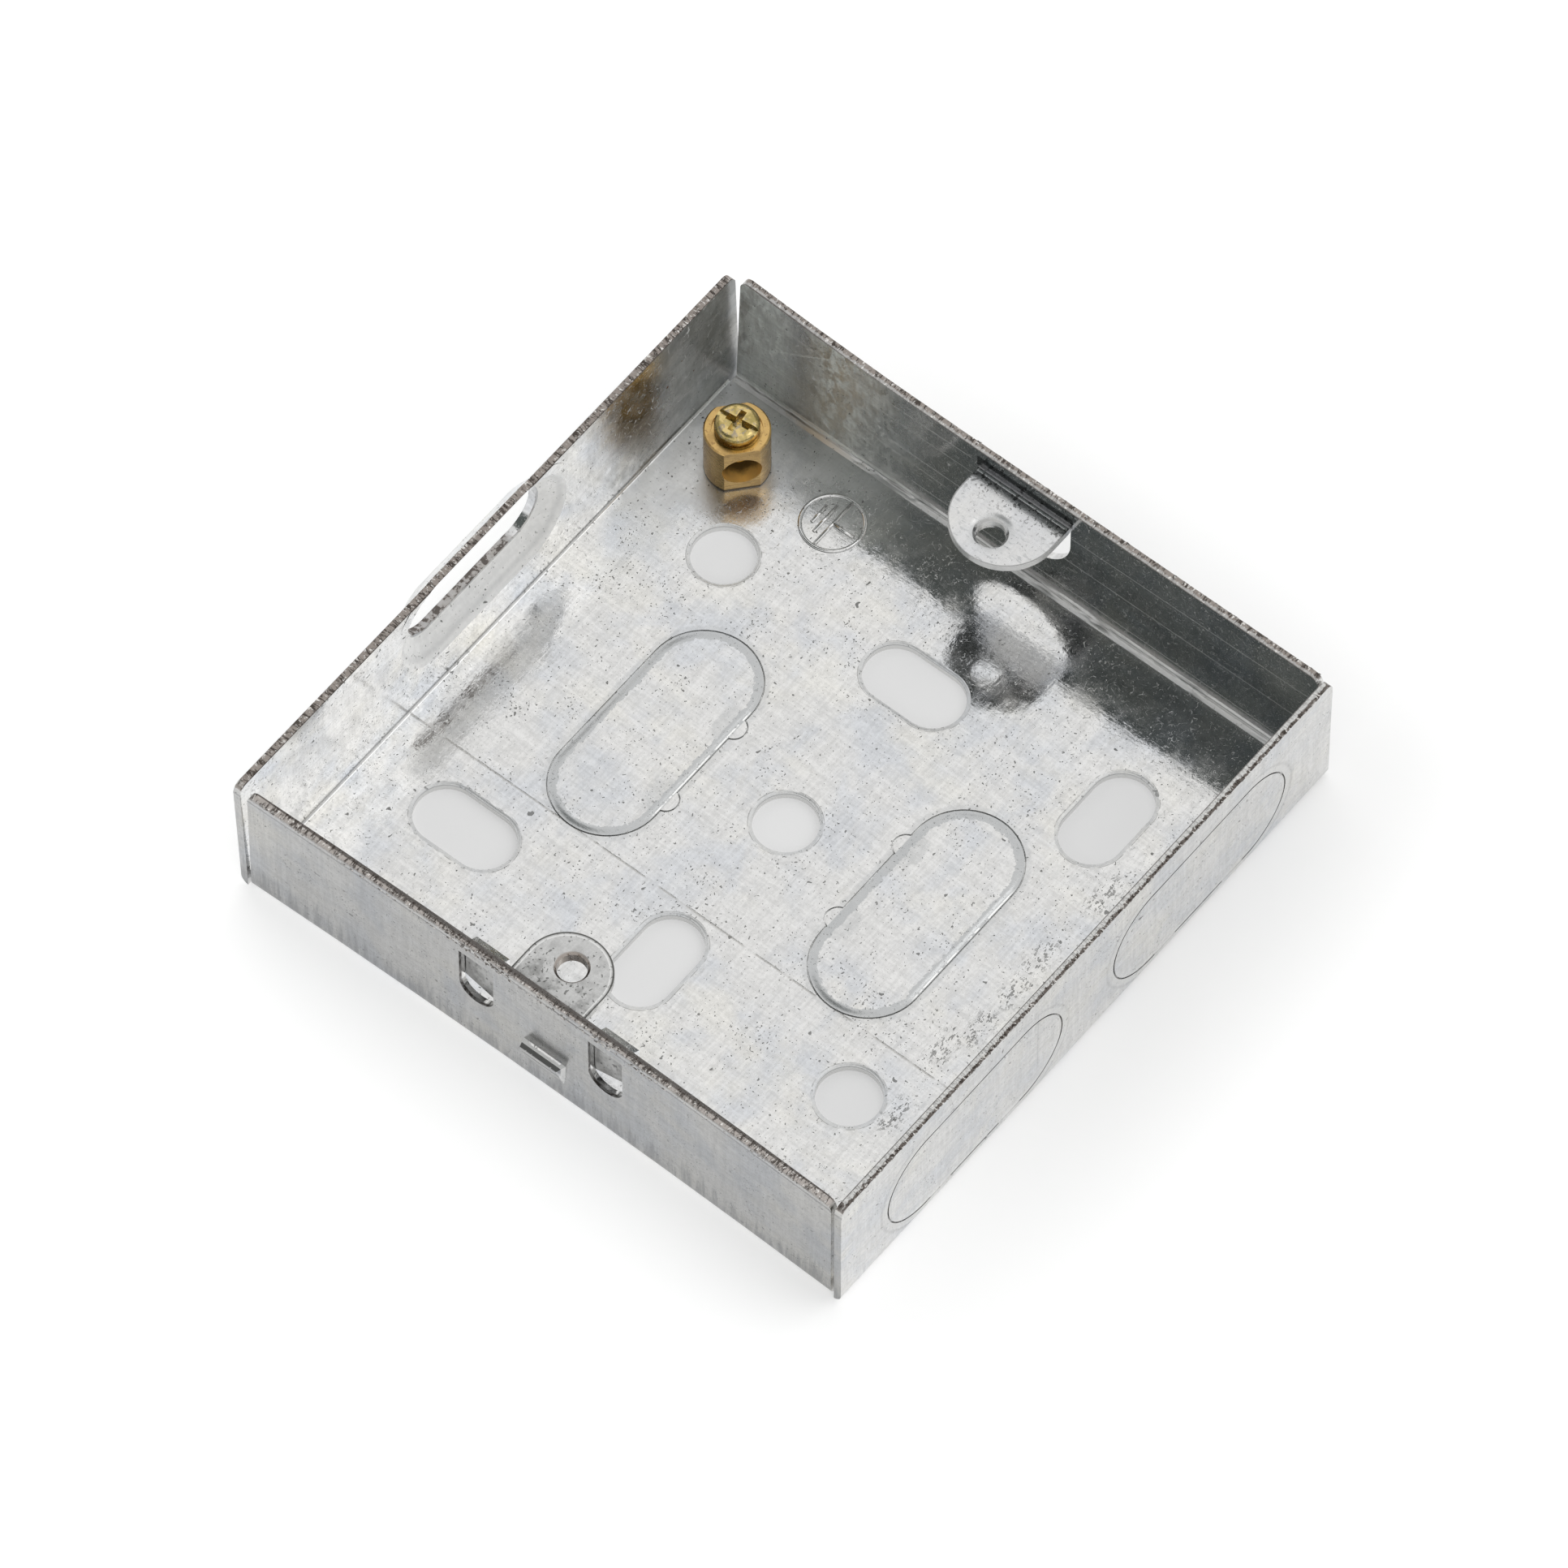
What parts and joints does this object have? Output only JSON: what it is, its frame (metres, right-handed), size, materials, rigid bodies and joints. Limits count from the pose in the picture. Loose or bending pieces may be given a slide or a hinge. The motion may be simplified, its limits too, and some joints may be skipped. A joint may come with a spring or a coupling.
{
  "type": "flush back box",
  "caption": "Shallow square back box folded from galvanised sheet, with a fixed and a sliding tapped lug, an arched cable slot, knock-outs and a brass earth terminal.",
  "frame": {"origin": "centre of the middle fixing hole, on the underside of the back plate", "axes": "+Z out of the open side; X along the line of the two lugs, with the sliding lug on the -X wall; +Y towards the wall with the cable slot"},
  "size_m": [0.0731, 0.0728, 0.0164],
  "materials": {
    "galvanised_sheet": "galvanised, glossy, finely brushed both ways, with specks and light tarnish",
    "galvanised_lug": "galvanised, satin, slightly stained",
    "terminal_brass": "turned, satin",
    "screw_brass": "plated, glossy"
  },
  "bodies": {
    "box": {"box_shell": "galvanised_sheet", "earth_terminal_post": "terminal_brass"},
    "sliding_lug": {"adjustable_lug": "galvanised_lug"},
    "clamp_screw": {"terminal_screw": "screw_brass"}
  },
  "joints": [
    {"name": "lug_slide", "type": "slide", "parent": "box", "child": "sliding_lug", "axis": [0, 1, 0], "range_m": [-0.0019, 0.0006]},
    {"name": "clamp_travel", "type": "slide", "parent": "box", "child": "clamp_screw", "axis": [0, 0, 1], "range_m": [0, 0.0024]}
  ]
}
